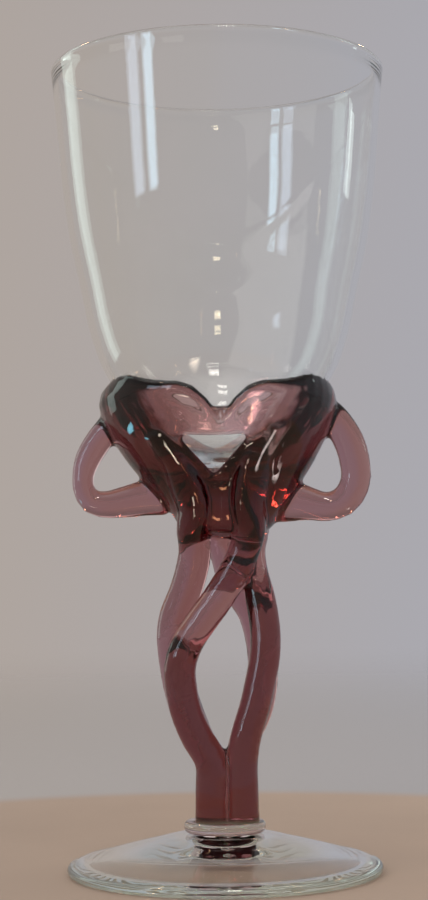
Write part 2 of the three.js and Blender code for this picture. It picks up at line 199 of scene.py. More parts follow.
class AmethystSizes(bpy.types.PropertyGroup):
    swell: FloatProperty(
        name="Swell",
        description="Glass that closes the seams between rods and loops",
        default=0.38 * MM,
        unit="LENGTH",
    )
    calyx_swell: FloatProperty(
        name="Calyx swell",
        description="The same for the calyx, under its ribs",
        default=0.2 * MM,
        unit="LENGTH",
    )
    grain: FloatProperty(
        name="Grain", description="Edge of the skin's faces", default=0.5 * MM, unit="LENGTH"
    )
    melt: IntProperty(name="Melt", description="Rounds of softening of the fused skin", default=16)
    reach: FloatProperty(
        name="Reach",
        description="How far a rod or loop keeps the glass round it",
        default=1.6 * MM,
        unit="LENGTH",
    )
    slit: FloatProperty(
        name="Slit",
        description="Clearance left between two pieces",
        default=0.006 * MM,
        unit="LENGTH",
    )


class GlassLooks(bpy.types.PropertyGroup):
    amethyst: FloatVectorProperty(
        name="Amethyst",
        description="Colour that the purple glass keeps",
        subtype="COLOR",
        size=3,
        default=(0.54, 0.125, 0.146),
    )
    amethyst_depth: FloatProperty(
        name="Amethyst depth", description="Absorption for each metre of purple glass", default=205.0
    )
    clear: FloatVectorProperty(
        name="Clear",
        description="Colour that the clear glass keeps",
        subtype="COLOR",
        size=3,
        default=(0.55, 0.9, 0.75),
    )
    clear_depth: FloatProperty(
        name="Clear depth", description="Absorption for each metre of clear glass", default=4.0
    )


class StageLooks(bpy.types.PropertyGroup):
    board: FloatVectorProperty(
        name="Board",
        description="Colour of the round board it stands on",
        subtype="COLOR",
        size=3,
        default=(0.39, 0.285, 0.22),
    )
    board_radius: FloatProperty(
        name="Board radius", description="Radius of the board", default=0.162, unit="LENGTH"
    )
    left: FloatVectorProperty(
        name="Backdrop, left",
        description="Colour of the backdrop on the left",
        subtype="COLOR",
        size=3,
        default=(0.425, 0.375, 0.345),
    )
    right: FloatVectorProperty(
        name="Backdrop, right",
        description="Colour of the backdrop on the right",
        subtype="COLOR",
        size=3,
        default=(0.4, 0.395, 0.43),
    )
    daylight: FloatProperty(name="Daylight", description="Strength of the soft room light", default=0.8)
    below: FloatProperty(
        name="Below",
        description="Air left between the foot and the board",
        default=0.05 * MM,
        unit="LENGTH",
    )


class Wire:
    """One output of a node. Arithmetic on it adds Math nodes."""

    def __init__(self, graph, socket):
        self.graph = graph
        self.socket = socket

    def maths(self, operation, first, second, clamp=False):
        settings = {"operation": operation, "use_clamp": clamp}
        return self.graph.add("ShaderNodeMath", settings, {0: first, 1: second})

    def clamped(self, operation, other):
        """The same, held between nought and one."""
        return self.maths(operation, self, other, clamp=True)

    def __add__(self, other):
        return self.maths("ADD", self, other)

    __radd__ = __add__

    def __mul__(self, other):
        return self.maths("MULTIPLY", self, other)

    __rmul__ = __mul__

    def __sub__(self, other):
        return self.maths("SUBTRACT", self, other)

    def __rsub__(self, other):
        return self.maths("SUBTRACT", other, self)


class Graph:
    """The nodes of one material or world."""

    def __init__(self, tree):
        self.tree = tree
        tree.nodes.clear()

    def add(self, kind, settings=None, inputs=None, output=None):
        """Adds a node and gives its named output, or else the first in use."""
        node = self.tree.nodes.new(kind)
        for name, value in (settings or {}).items():
            setattr(node, name, value)
        for name, value in (inputs or {}).items():
            socket = self.in_use(node.inputs, name)
            if isinstance(value, Wire):
                self.tree.links.new(value.socket, socket)
            else:
                socket.default_value = value
        return Wire(self, self.in_use(node.outputs, output)) if len(node.outputs) else None

    def in_use(self, sockets, name):
        """The socket with that number, or the enabled one with that name, or the first enabled one."""
        if isinstance(name, int):
            return sockets[name]
        return next(s for s in sockets if s.enabled and name in (None, s.name))

    def noise(self, place, scale, detail=2.0, roughness=0.5):
        return self.add(
            "ShaderNodeTexNoise",
            {"noise_dimensions": "3D"},
            {"Vector": place, "Scale": scale, "Detail": detail, "Roughness": roughness},
        )

    def blend(self, share, first, second):
        inputs = {"Factor": share, "A": first, "B": second}
        return self.add("ShaderNodeMix", {"data_type": "RGBA"}, inputs)

    def ramp(self, value, low, high, interpolation="SMOOTHSTEP"):
        """Nought up to low and one from high on."""
        return self.add(
            "ShaderNodeMapRange",
            {"interpolation_type": interpolation},
            {"Value": value, "From Min": low, "From Max": high},
        )


def opaque(colour):
    return (*colour, 1.0)


# Looks of the glass: two tints of each kind, and waves for each metre
CLEAR_TINTS = ((0.97, 0.985, 0.975), (1.0, 1.0, 1.0))
# the collar's two tints are a painted reflection: a rosy cast in place of the purple rods seen in the
# clear ring
COLLAR_PAINTED_ROSE_TINTS = ((0.74, 0.56, 0.56), (0.8, 0.64, 0.63))
AMETHYST_TINTS = ((0.94, 0.86, 0.89), (1.0, 0.96, 0.97))
CLEAR_RIPPLE = 0.02 * MM
AMETHYST_RIPPLE = 0.12 * MM
BROAD_WAVES = 70.0
FINE_WAVES = 420.0
FINE_DETAIL = 3.0
FINE_SHARE = 0.12  # of the ripple's height
GLASS_ROUGHNESS = 0.02
GLASS_IOR = 1.5


def glass_material(name, tints, keep, depth, ripple):
    """Fire-polished glass, coloured by its depth, with a sheen from a faint hand-worked ripple."""
    made = bpy.data.materials.get(name)
    if made:
        return made
    material = bpy.data.materials.new(name)
    material.use_nodes = True
    graph = Graph(material.node_tree)
    place = graph.add("ShaderNodeTexCoord", output="Object")
    broad = graph.noise(place, BROAD_WAVES)
    fine = graph.noise(place, FINE_WAVES, FINE_DETAIL)
    height = broad + fine * FINE_SHARE
    bump = graph.add("ShaderNodeBump", None, {"Strength": 1.0, "Distance": ripple, "Height": height})
    fused = graph.add("ShaderNodeAttribute", {"attribute_name": "fused"}, output="Fac")
    low, high = (opaque(tint) for tint in tints)
    surface = graph.add(
        "ShaderNodeBsdfPrincipled",
        None,
        {
            "Base Color": graph.blend(broad, low, high),
            "Roughness": fine * GLASS_ROUGHNESS,
            "Transmission Weight": 1.0,
            "IOR": GLASS_IOR,
            "Alpha": 1.0 - fused,
            "Normal": bump,
        },
    )
    inside = graph.add("ShaderNodeVolumeAbsorption", None, {"Color": opaque(keep), "Density": depth})
    graph.add("ShaderNodeOutputMaterial", None, {"Surface": surface, "Volume": inside})
    return material


def clear_glass():
    looks = bpy.context.scene.goblet_glass
    return glass_material("blown_clear", CLEAR_TINTS, looks.clear, looks.clear_depth, CLEAR_RIPPLE)


def collar_glass_painted_rose():
    """Clear glass with a painted rosy tint, a painted reflection of the purple rods that stand in the
    ring.
    """
    looks = bpy.context.scene.goblet_glass
    return glass_material("collar_clear_painted_rose", COLLAR_PAINTED_ROSE_TINTS, looks.clear, looks.clear_depth, CLEAR_RIPPLE)


def amethyst_glass():
    looks = bpy.context.scene.goblet_glass
    return glass_material(
        "worked_amethyst", AMETHYST_TINTS, looks.amethyst, looks.amethyst_depth, AMETHYST_RIPPLE
    )


# Looks of the stage: waves for each metre, and distances in metres
GRAIN_WAVES = 700.0
GRAIN_BUMP = 0.2 * MM
PATCH_WAVES = 18.0
BOARD_TONES = (0.74, 1.24)  # darkest and lightest, as multiples of the board's colour
BOARD_TURN = 0.13  # half the width over which the board gets lighter to the right
BOARD_BLUR = 0.01  # half the width of the board's soft edge
GROUND_TURN = 0.15  # half the width over which the ground turns cooler
GROUND_SHADE = 0.12  # share of black in the ground
GROUND_FADE = (0.3, 1.3)  # from the axis, where the ground starts and ends fading out
WALL_TURN = 0.12  # the same as the ground's for the wall, as a slope
WALL_RISE = (0.25, 0.7)  # upward slopes where the wall starts and ends turning into its upper part
UPPER_WALL = (0.27, 0.255, 0.25)
CEILING_RISE = (0.75, 0.9)
CEILING = (1.1, 1.07, 1.03)
DAYLIGHT = (1.0, 0.985, 0.96)


def floor_material(looks):
    """A matt round board on a pale ground, which fades into the backdrop far out."""
    material = bpy.data.materials.new("pale_ground")
    material.use_nodes = True
    graph = Graph(material.node_tree)
    place = graph.add("ShaderNodeTexCoord", output="Object")
    out = graph.add("ShaderNodeVectorMath", {"operation": "LENGTH"}, {0: place}, output="Value")
    grain = graph.noise(place, GRAIN_WAVES, FINE_DETAIL)
    patches = graph.noise(place, PATCH_WAVES)
    across = graph.add("ShaderNodeSeparateXYZ", None, {0: place}, output="X")
    aside = graph.ramp(across, -BOARD_TURN, BOARD_TURN, "LINEAR")
    tone = patches * 0.3 + grain * 0.15 + aside * 0.55
    dark, light = (opaque([share * c for c in looks.board]) for share in BOARD_TONES)
    board = graph.blend(tone, dark, light)
    edge = graph.ramp(out, looks.board_radius - BOARD_BLUR, looks.board_radius + BOARD_BLUR)
    backdrop = backdrop_colour(graph, place, looks, GROUND_TURN)
    beyond = graph.blend(GROUND_SHADE, backdrop, opaque((0.0, 0.0, 0.0)))
    colour = graph.blend(edge, board, beyond)
    bump = graph.add("ShaderNodeBump", None, {"Strength": 0.2, "Distance": GRAIN_BUMP, "Height": grain})
    surface = graph.add(
        "ShaderNodeBsdfPrincipled",
        None,
        {"Base Color": colour, "Roughness": 0.75 + grain * 0.15, "Normal": bump},
    )
    nothing = graph.add("ShaderNodeBsdfTransparent")
    fade = graph.ramp(out, *GROUND_FADE)
    mixed = graph.add("ShaderNodeMixShader", None, {0: fade, 1: surface, 2: nothing})
    graph.add("ShaderNodeOutputMaterial", None, {"Surface": mixed})
    return material


def backdrop_colour(graph, place, looks, reach):
    """Warm on the left and cooler on the right, over a width of twice the reach."""
    across = graph.add("ShaderNodeSeparateXYZ", None, {0: place}, output="X")
    share = graph.ramp(across, -reach, reach, "LINEAR")
    return graph.blend(share, opaque(looks.left), opaque(looks.right))


def start_clean():
    if bpy.context.mode != "OBJECT":
        bpy.ops.object.mode_set(mode="OBJECT")
    bpy.ops.object.select_all(action="DESELECT")


def pick(obj):
    start_clean()
    obj.select_set(True)
    bpy.context.view_layer.objects.active = obj


def edit_all(obj):
    pick(obj)
    bpy.ops.object.mode_set(mode="EDIT")
    bpy.ops.mesh.select_mode(type="VERT")
    bpy.ops.mesh.select_all(action="SELECT")


def smooth_line(points, steps):
    """Points spaced evenly along a curve through the given ones, ends included."""
    knots = [Vector(p) for p in points]
    knots = [2 * knots[0] - knots[1], *knots, 2 * knots[-1] - knots[-2]]
    dense = []
    for a, b, c, d in zip(knots, knots[1:], knots[2:], knots[3:]):
        t1 = (b - a).length ** 0.5
        t2 = t1 + (c - b).length ** 0.5
        t3 = t2 + (d - c).length ** 0.5
        for step in range(KNOT_STEPS):
            t = t1 + (t2 - t1) * step / KNOT_STEPS
            ab = a.lerp(b, t / t1)
            bc = b.lerp(c, (t - t1) / (t2 - t1))
            cd = c.lerp(d, (t - t2) / (t3 - t2))
            abc = ab.lerp(bc, t / t2)
            bcd = bc.lerp(cd, (t - t1) / (t3 - t1))
            dense.append(abc.lerp(bcd, (t - t1) / (t2 - t1)))
    dense.append(knots[-2])
    run = [0.0]
    for a, b in zip(dense, dense[1:]):
        run.append(run[-1] + (b - a).length)
    line = []
    at = 0
    for step in range(steps + 1):
        wanted = run[-1] * step / steps
        while at < len(run) - 2 and run[at + 1] < wanted:
            at += 1
        line.append(dense[at].lerp(dense[at + 1], (wanted - run[at]) / (run[at + 1] - run[at])))
    return line


def turned(name, profile, sides):
    """A closed form turned from pairs of radius and height, which start and end on the axis."""
    first, *rings, last = profile
    start_clean()
    bpy.ops.mesh.primitive_circle_add(vertices=sides, radius=rings[0][0], location=(0, 0, rings[0][1]))
    obj = bpy.context.object
    obj.name = name
    bpy.ops.object.transform_apply()
    edit_all(obj)
    for (radius, height), (next_radius, next_height) in zip(rings, rings[1:]):
        bpy.ops.mesh.extrude_region_move(
            TRANSFORM_OT_translate={"value": (0, 0, next_height - height)}
        )
        share = next_radius / radius
        bpy.ops.transform.resize(value=(share, share, 1), center_override=(0, 0, 0))
    close_ring(last[1] - rings[-1][1])
    bpy.ops.object.mode_set(mode="OBJECT")
    for vertex in obj.data.vertices:
        vertex.select = vertex.index < sides
    bpy.ops.object.mode_set(mode="EDIT")
    close_ring(first[1] - rings[0][1])
    bpy.ops.mesh.select_all(action="SELECT")
    bpy.ops.mesh.normals_make_consistent(inside=False)
    bpy.ops.object.mode_set(mode="OBJECT")
    bpy.ops.object.shade_smooth_by_angle(angle=TURNED_ANGLE)
    return obj


def close_ring(rise):
    """Draws the selected ring together into a pole that stands rise above it."""
    bpy.ops.mesh.extrude_region_move(TRANSFORM_OT_translate={"value": (0, 0, rise)})
    bpy.ops.mesh.merge(type="CENTER")


def rounded_edge(reach, middle, width, half):
    """Half a turn from underside to top, round an edge that stands out by width from reach."""
    turns = [math.pi * (n / EDGE_STEPS - 0.5) for n in range(EDGE_STEPS + 1)]
    return [(reach + width * math.cos(turn), middle + half * math.sin(turn)) for turn in turns]


def apply_modifier(obj, kind, **settings):
    pick(obj)
    modifier = obj.modifiers.new(kind.lower(), kind)
    for name, value in settings.items():
        setattr(modifier, name, value)
    bpy.ops.object.modifier_apply(modifier=modifier.name)


def combine(obj, other, operation):
    """Cuts obj with other, or keeps what they share. The new faces keep other's slot number."""
    apply_modifier(obj, "BOOLEAN", operation=operation, object=other, solver="MANIFOLD")
    if not len(obj.data.polygons):
        raise RuntimeError(f"{obj.name} came out empty when cut with {other.name}")


def copy_of(obj, name):
    copy = bpy.data.objects.new(name, obj.data.copy())
    bpy.context.scene.collection.objects.link(copy)
    return copy


def remove(*objs):
    for obj in objs:
        bpy.data.objects.remove(obj)


def set_slot(obj, number):
    """Gives all faces the slot number that tells skin, 0, from seam, 1, until the piece is finished."""
    while len(obj.data.materials) < 2:
        obj.data.materials.append(None)
    for face in obj.data.polygons:
        face.material_index = number


def grown(node, by, slot=1):
    """A copy of a CAD node's mesh, closed and grown outwards."""
    obj = copy_of(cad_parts[node], "grown_" + node)
    obj.data.materials.clear()
    edit_all(obj)
    bpy.ops.mesh.remove_doubles(threshold=MERGE_REACH)
    bpy.ops.object.mode_set(mode="OBJECT")
    apply_modifier(obj, "DISPLACE", strength=by, mid_level=0.0)
    set_slot(obj, slot)
    return obj


def block(name, low, high):
    middle = [(a + b) / 2 for a, b in zip(low, high)]
    start_clean()
    bpy.ops.mesh.primitive_cube_add(size=1, location=middle, scale=[b - a for a, b in zip(low, high)])
    obj = bpy.context.object
    obj.name = name
    bpy.ops.object.transform_apply()
    set_slot(obj, 1)
    return obj


def finish_piece(obj, name, material, node):
    """Names the piece, marks its fused faces from their slot number, and lets it ride on the body."""
    obj.name = name
    obj.data.name = name
    mesh = obj.data
    fused = mesh.attributes.get("fused") or mesh.attributes.new("fused", "FLOAT", "FACE")
    fused.data.foreach_set("value", [float(face.material_index == 1) for face in mesh.polygons])
    mesh.materials.clear()
    mesh.materials.append(material)
    for face in mesh.polygons:
        face.material_index = 0
    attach(obj, "root")
    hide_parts(node)


def bowl_line(sizes):
    """Outer outline of the bowl with its slopes, from the lowest point to the rim."""
    line = smooth_line(
        [(x * sizes.rim_radius, BOWL_LOW.z + z * sizes.height) for x, z in BOWL_SHARES], sizes.rows
    )
    slopes = []
    for step in range(len(line)):
        run = line[min(step + 1, sizes.rows)] - line[max(step - 1, 0)]
        slopes.append(run.normalized())
    slopes[0] = Vector((1, 0))
    return line, slopes


class GOBLET_OT_bowl(bpy.types.Operator):
    """Blown clear bowl with a rounded lip"""

    bl_idname = "goblet.bowl"
    bl_label = "Bowl"

    def execute(self, context):
        sizes = context.scene.goblet_bowl
        line, slopes = bowl_line(sizes)
        inner = []
        for point, slope in zip(line, slopes):
            up = (point.y - BOWL_LOW.z) / sizes.height
            wall = sizes.wall + (sizes.top_wall - sizes.wall) * up
            share = min(1.0, point.x / sizes.rim_radius / sizes.floor_reach)
            share = share * share * (3 - 2 * share)
            glass = sizes.floor + (wall - sizes.floor) * share
            inner.append((point.x - slope.y * glass, point.y + slope.x * glass))
        lip = sizes.lip / 2
        top = BOWL_LOW.z + sizes.height - lip
        rim = [
            (sizes.rim_radius - lip + lip * math.cos(turn), top + lip * math.sin(turn))
            for turn in [math.pi * step / LIP_STEPS for step in range(LIP_STEPS + 1)]
        ]
        below = [tuple(p) for p in line[1:] if p.y < top - OUTSIDE_CLEAR]
        inside = [p for p in reversed(inner[1:]) if p[1] < top - INSIDE_CLEAR]
        profile = [(0, line[0].y), *below, *rim, *inside, (0, inner[0][1])]
        obj = turned("bowl", profile, sizes.sides)
        finish_piece(obj, "bowl_blown", clear_glass(), "bowl")
        return {"FINISHED"}


class GOBLET_OT_foot(bpy.types.Operator):
    """Clear domed foot with the collar ring fused onto it"""

    bl_idname = "goblet.foot"
    bl_label = "Foot and collar ring"

    def execute(self, context):
        sizes = context.scene.goblet_foot
        seam = RING_LOW.z
        under_seam = seam - context.scene.goblet_amethyst.slit
        half = sizes.edge / 2
        under = [
            (sizes.rest * share, sizes.hollow * (1 - share**2))
            for share in [n / HOLLOW_STEPS for n in range(HOLLOW_STEPS + 1)]
        ]
        edge = rounded_edge(sizes.radius - half, half, half, half)
        dome = smooth_line([(x * sizes.radius, z * sizes.crown) for x, z in FOOT_SHARES], DOME_STEPS)
        dome = [tuple(p) for p in dome if p.x < sizes.radius - half and p.y > sizes.edge]
        inner = sizes.seat + 2 * NECK_FLARE
        dome = [p for p in dome if p[0] > inner and p[1] < seam - NECK_FLARE]
        neck = [(sizes.seat + NECK_FLARE, seam - NECK_DROP), (sizes.seat, under_seam)]
        profile = [*under, *edge, *dome, *neck, (sizes.seat * 0.5, under_seam), (0, under_seam)]
        foot = turned("foot", profile, sizes.sides)
        half = (RING_HIGH.z - RING_LOW.z) / 2
        edge = rounded_edge(RING_HIGH.x - RING_EDGE, seam + half, RING_EDGE, half)
        profile = [(0, seam), (sizes.seat * 0.5, seam), (sizes.seat, seam), *edge, (0, RING_HIGH.z)]
        ring = turned("ring", profile, sizes.ring_sides)
        for obj, facing in ((foot, 1), (ring, -1)):
            self.mark_seat(obj, facing, seam, sizes.seat)
        finish_piece(foot, "foot_domed", clear_glass(), "foot")
        ring.name = "ring_blank"
        return {"FINISHED"}

    def mark_seat(self, obj, facing, seam, reach):
        """Gives slot 1 to the flat faces where foot and ring are fused, and slot 0 to the others."""
        set_slot(obj, 0)
        for face in obj.data.polygons:
            flat = face.normal.z * facing > 0.99 and abs(face.center.z - seam) < 0.08 * MM
            if flat and math.hypot(face.center.x, face.center.y) < reach:
                face.material_index = 1


class GOBLET_OT_amethyst(bpy.types.Operator):
    """Amethyst calyx, rods and loops, melted into one skin and parted again along their seams"""

    bl_idname = "goblet.amethyst"
    bl_label = "Calyx, rods and loops"

    def execute(self, context):
        sizes = context.scene.goblet_amethyst
        mass = self.melted(sizes)
        skin = copy_of(mass, "skin")
        pick(skin)
        bpy.ops.object.shade_smooth_by_angle(angle=SKIN_ANGLE)
        self.seat_on_ring(mass, sizes)
        self.part(mass, skin, sizes)
        remove(skin)
        return {"FINISHED"}

    def seat_on_ring(self, mass, sizes):
        """Ends the mass at the ring's top and prints the rods' seat into the finished ring."""
        top = RING_HIGH.z
        ring = bpy.data.objects["ring_blank"]
        seat = copy_of(mass, "seat")
        set_slot(seat, 1)
        above = block("above", (-FAR, -FAR, top - sizes.slit), (FAR, FAR, top + SEAT_SLAB))
        combine(seat, above, "INTERSECT")
        combine(ring, seat, "DIFFERENCE")
        below = block("below", (-FAR, -FAR, -FAR), (FAR, FAR, top))
        combine(mass, below, "DIFFERENCE")
        remove(seat, above, below)
        finish_piece(ring, "ring_collar", collar_glass_painted_rose(), "merese")

    def melted(self, sizes):
        """All the amethyst glass as one mass with a softened skin, hollowed for the bowl."""
        parts = [grown(node, sizes.swell, 0) for node in (*RODS, *LOOPS)]
        parts += [grown(node, sizes.calyx_swell, 0) for node in CALYX]
        parts += [self.root(node, sizes) for node in RODS]
        parts.append(self.notch_fill())
        start_clean()
        for part in parts:
            part.select_set(True)
        bpy.context.view_layer.objects.active = parts[0]
        bpy.ops.object.join()
        mass = bpy.context.object
        mass.name = "amethyst_mass"
        apply_modifier(mass, "REMESH", mode="VOXEL", voxel_size=sizes.grain, adaptivity=0.0)
        apply_modifier(mass, "SMOOTH", factor=0.5, iterations=sizes.melt)
        mass.data.materials.clear()
        set_slot(mass, 0)
        bowl_sizes = bpy.context.scene.goblet_bowl
        line, slopes = bowl_line(bowl_sizes)
        body = [(p.x + s.y * sizes.slit, p.y - s.x * sizes.slit) for p, s in zip(line, slopes)]
        profile = [(0, line[0].y - sizes.slit), *body[1:], (0, line[-1].y)]
        room = turned("bowl_room", profile, bowl_sizes.sides)
        set_slot(room, 0)
        combine(mass, room, "DIFFERENCE")
        remove(room)
        return mass

    def root(self, node, sizes):
        """A straight length of rod that carries the rod's lower end on into the ring."""
        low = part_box(node)[0].z
        end = [v.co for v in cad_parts[node].data.vertices if v.co.z < low + 0.5 * MM]
        middle = sum(end, Vector()) / len(end)
        start_clean()
        bpy.ops.mesh.primitive_cylinder_add(
            vertices=24,
            radius=ROD_RADIUS + sizes.swell,
            depth=ROOT_HEIGHT,
            location=(middle.x, middle.y, RING_HIGH.z - ROOT_DROP),
        )
        bpy.ops.object.transform_apply()
        return bpy.context.object

    def notch_fill(self):
        """A bead of glass that rounds the notch of the calyx's front lip."""
        near_seam = [
            v.co
            for node in CALYX
            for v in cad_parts[node].data.vertices
            if abs(v.co.x) < NOTCH_REACH and v.co.y < 0
        ]
        notch = max(near_seam, key=lambda point: point.z)
        start_clean()
        bpy.ops.mesh.primitive_uv_sphere_add(
            segments=24,
            ring_count=16,
            radius=1,
            location=(0, notch.y - NOTCH_OUT, notch.z + NOTCH_UP),
            scale=[half * MM for half in NOTCH_BEAD],
        )
        bpy.ops.object.transform_apply()
        return bpy.context.object

    def part(self, mass, skin, sizes):
        """Cuts the mass into its rods, loops and calyx halves with a slit at each seam."""
        order = [*RODS, *LOOPS]
        for number, node in enumerate(order):
            keep = grown(node, sizes.reach)
            room = grown(node, sizes.reach + sizes.slit)
            for other in (*order[number + 1 :], *CALYX):
                wide = grown(other, SEAM_HALF)
                combine(keep, wide, "DIFFERENCE")
                narrow = grown(other, SEAM_HALF - sizes.slit)
                combine(room, narrow, "DIFFERENCE")
                remove(wide, narrow)
            piece = copy_of(mass, node + "_piece")
            combine(piece, keep, "INTERSECT")
            combine(mass, room, "DIFFERENCE")
            remove(keep, room)
            self.dress(piece, skin, node)
        for node, sign in (("calyx_left", -1), ("calyx_right", 1)):
            low, high = sorted((sign * sizes.slit / 2, sign * FAR))
            half = block("half", (low, -FAR, -FAR), (high, FAR, FAR))
            piece = copy_of(mass, node + "_piece")
            combine(piece, half, "INTERSECT")
            remove(half)
            self.dress(piece, skin, node)
        remove(mass)

    def dress(self, piece, skin, node):
        """Parts seam from skin by sharp edges, and shades the skin as on the whole mass."""
        edit_all(piece)
        bpy.ops.mesh.select_mode(type="FACE")
        bpy.ops.mesh.select_all(action="DESELECT")
        bpy.ops.object.mode_set(mode="OBJECT")
        for face in piece.data.polygons:
            face.select = face.material_index == 1
        bpy.ops.object.mode_set(mode="EDIT")
        bpy.ops.mesh.region_to_loop()
        bpy.ops.mesh.mark_sharp()
        bpy.ops.object.mode_set(mode="OBJECT")
        bpy.ops.object.shade_smooth_by_angle(angle=SKIN_ANGLE, keep_sharp_edges=True)
        apply_modifier(
            piece,
            "DATA_TRANSFER",
            object=skin,
            use_loop_data=True,
            data_types_loops={"CUSTOM_NORMAL"},
            loop_mapping="POLYINTERP_NEAREST",
        )
        name = node.replace("strand", "rod") + "_worked"
        finish_piece(piece, name, amethyst_glass(), node)


class Lamp(NamedTuple):
    """A lit panel. Glow is how bright its face looks from the spot it aims at."""

    name: str
    place: tuple
    aim: tuple
    width: float
    height: float
    glow: float
    colour: tuple
    spread: float = 180  # degrees within which it shines
    glint: bool = True  # shows in the glass and leaves the board alone

    def hang(self):
        spread = math.radians(self.spread)
        gather = 1.0
        if spread < math.pi:
            gather = math.tan(spread / 2) / (math.tan(spread / 2) - spread / 2)
        light = bpy.data.lights.new(self.name, "AREA")
        light.shape = "RECTANGLE"
        light.spread = spread
        light.size = self.width
        light.size_y = self.height
        light.energy = self.glow * math.pi * self.width * self.height / gather
        light.color = self.colour
        lamp = bpy.data.objects.new(self.name, light)
        bpy.context.scene.collection.objects.link(lamp)
        lamp.visible_camera = False
        lamp.visible_diffuse = not self.glint
        lamp.visible_glossy = self.glint
        lamp.location = self.place
        way = Vector(self.aim) - Vector(self.place)
        lamp.rotation_euler = way.to_track_quat("-Z", "Y").to_euler()


def far_lamp(name, turn, rise, spot, width, height, glow, colour):
    """A lamp one metre from its spot, by degrees to the right of the front and degrees up."""
    turn, rise = math.radians(turn), math.radians(rise)
    way = Vector((math.cos(rise) * math.sin(turn), -math.cos(rise) * math.cos(turn), math.sin(rise)))
    return Lamp(name, Vector(spot) + way, spot, width, height, glow, colour)


# Lamps: name, place, spot, width, height, glow and colour, then spread for the low cards
BOWL_MIDDLE = (0, 0, 0.14)
WARM = (1, 0.6, 0.32)
CREAM = (1, 0.84, 0.66)
ORANGE = (1, 0.4, 0.2)
PINK = (1, 0.86, 0.8)
CYAN = (0.3, 0.8, 1)
CARD_SPREAD = 15  # degrees
LAMPS = (
    Lamp("soft_panel", (-0.9, -0.7, 1.7), BOWL_MIDDLE, 2.2, 2.2, 0.86, (1.0, 0.97, 0.92), glint=False),
    Lamp("window_pane_far", (-0.64, -0.4, 0.32), BOWL_MIDDLE, 0.11, 0.4, 3.3, (0.66, 0.82, 1.0)),
    Lamp("window_pane_near", (-0.55, -0.52, 0.32), BOWL_MIDDLE, 0.09, 0.4, 5.3, (0.6, 0.84, 1.0)),
    Lamp("left_strip", (-0.24, 0.12, 0.2), BOWL_MIDDLE, 0.07, 0.34, 1.2, (0.8, 1.0, 0.93)),
    Lamp("right_strip", (0.29, 0.07, 0.2), BOWL_MIDDLE, 0.025, 0.05, 3.0, (0.85, 1.0, 0.95)),
    Lamp(
        "low_card_left", (-0.061, -0.097, 0.001), (-0.011, -0.017, 0.092),
        0.06, 0.034, 22, CREAM, CARD_SPREAD,
    ),
    Lamp(
        "low_card_front", (-0.014, -0.118, 0.001), (-0.004, -0.013, 0.082),
        0.018, 0.012, 16, ORANGE, CARD_SPREAD,
    ),
    Lamp(
        "low_card_right", (0.084, -0.048, 0.001), (0.011, -0.018, 0.096),
        0.06, 0.03, 14, PINK, CARD_SPREAD,
    ),
    Lamp(
        "cyan_card", (-0.143, 0.0225, 0.029), (-0.022, -0.014, 0.108),
        0.026, 0.014, 10, CYAN, CARD_SPREAD,
    ),
    far_lamp("ceiling_lamp_rim", 2, 24.4, (0, 0.04, 0.197), 0.08, 0.004, 22, (1, 0.86, 0.6)),
    far_lamp("ceiling_lamp_high", 2, 30, (0, 0.031, 0.1395), 0.09, 0.015, 32, (1, 0.84, 0.55)),
    far_lamp("ceiling_lamp_middle", 8, 52, (0, 0.029, 0.1276), 0.14, 0.09, 55, (1, 0.95, 0.88)),
    far_lamp("ceiling_lamp_low", -4, 63.6, (0, 0.027, 0.124), 0.13, 0.013, 60, (1, 0.96, 0.9)),
    far_lamp("warm_lamp_back_right", 150, 35, BOWL_MIDDLE, 0.05, 0.05, 50, WARM),
    far_lamp("warm_lamp_back_left", 215, 42, BOWL_MIDDLE, 0.05, 0.05, 50, WARM),
    far_lamp("warm_lamp_right", 60, 50, BOWL_MIDDLE, 0.05, 0.05, 50, WARM),
    far_lamp("warm_lamp_left", -75, 55, BOWL_MIDDLE, 0.05, 0.05, 50, WARM),
)

# Camera: metres, radians, and the lens in millimetres
CAMERA_BACK = 0.46362
CAMERA_HEIGHT = 0.07529
CAMERA_PITCH = 0.0619
CAMERA_ROLL = -0.0108
CAMERA_YAW = 0.0037
CAMERA_LENS = 74.48
CAMERA_SENSOR = 36
CAMERA_SEES = (0.01, 20)  # nearest and farthest

GROUND_MIDDLE = 0.05  # radius of the ground's innermost face
GROUND_RINGS = 5
GROUND_STEP = 2  # each ring reaches this many times as far as the one inside it


